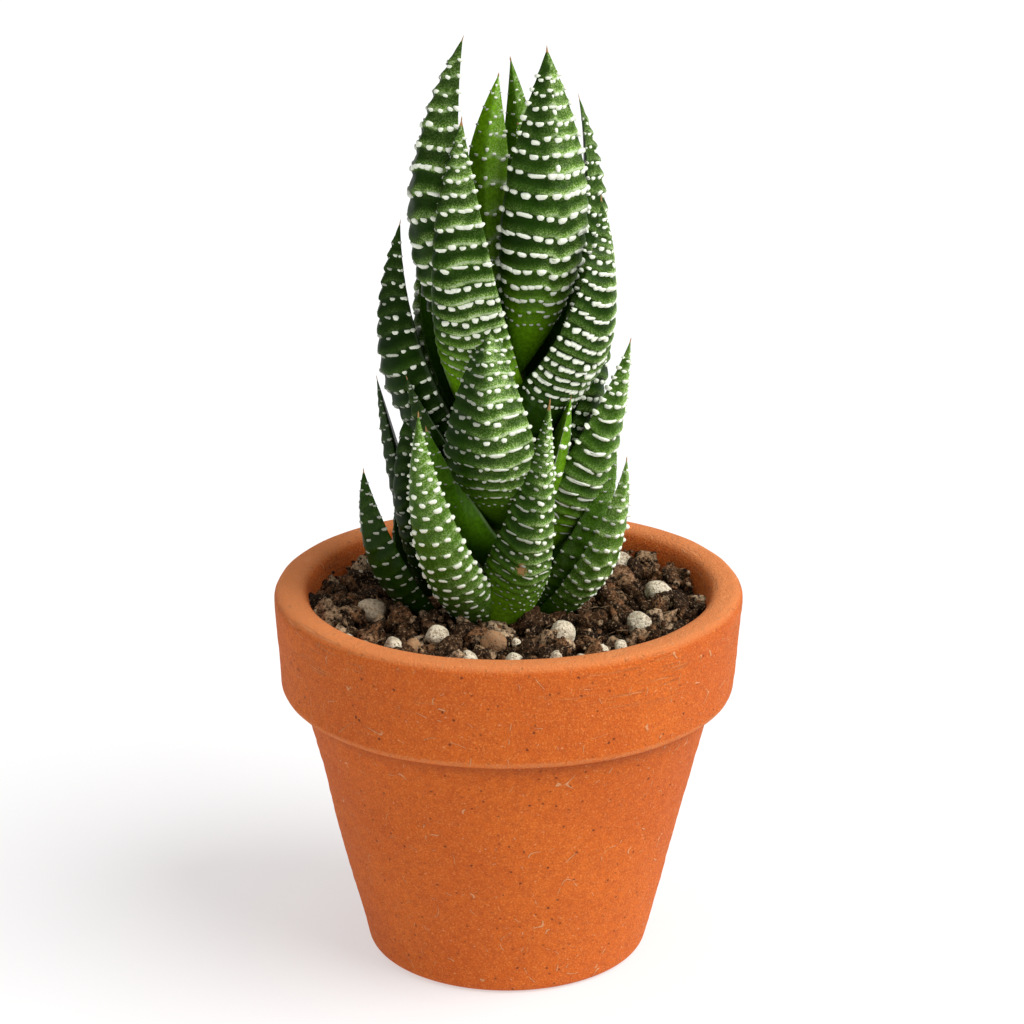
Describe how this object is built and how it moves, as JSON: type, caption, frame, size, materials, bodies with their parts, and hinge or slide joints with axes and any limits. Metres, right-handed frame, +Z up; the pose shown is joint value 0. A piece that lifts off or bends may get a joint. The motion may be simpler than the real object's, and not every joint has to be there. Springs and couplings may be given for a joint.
{
  "type": "potted haworthia",
  "caption": "Columnar zebra haworthia with fat pointed leaves banded in white tubercles, growing in gritty soil in a round terracotta pot with a deep rim.",
  "frame": {"origin": "centre of the pot's foot, on the surface that it stands on", "axes": "+Z up along the pot's axis, -Y towards the front of the plant"},
  "size_m": [0.08, 0.08, 0.1591],
  "materials": {
    "terracotta": "unglazed fired clay, matt, with fine specks and faint turning lines",
    "soil": "dark bark and peat grit with pale pumice pebbles",
    "stem": "smooth green stem, hidden by the leaf bases",
    "leaf": "glossy dark green skin with bands of chalk white tubercles",
    "young_leaf": "fresh yellow green skin of the young heart leaves"
  },
  "bodies": {
    "root": {"pot": "terracotta", "soil": "soil", "stem": "stem", "leaf_ground_1": "leaf", "leaf_ground_2": "leaf", "leaf_ground_3": "leaf", "leaf_ground_4": "leaf", "leaf_ground_5": "leaf", "leaf_ground_6": "leaf", "leaf_ground_7": "leaf", "leaf_ground_8": "leaf", "leaf_ground_9": "leaf", "leaf_ground_10": "leaf", "leaf_ground_11": "leaf", "leaf_low_1": "leaf", "leaf_low_2": "leaf", "leaf_low_3": "leaf", "leaf_low_4": "leaf", "leaf_low_5": "leaf", "leaf_low_6": "leaf", "leaf_low_7": "leaf", "leaf_low_8": "leaf", "leaf_low_9": "leaf", "leaf_upper_1": "leaf", "leaf_upper_2": "leaf", "leaf_upper_3": "leaf", "leaf_upper_4": "leaf", "leaf_upper_5": "leaf", "leaf_upper_6": "leaf", "leaf_crown_1": "leaf", "leaf_crown_2": "leaf", "leaf_crown_3": "leaf", "leaf_crown_4": "leaf", "leaf_heart_1": "young_leaf", "leaf_heart_2": "young_leaf", "leaf_heart_3": "young_leaf"}
  },
  "joints": []
}
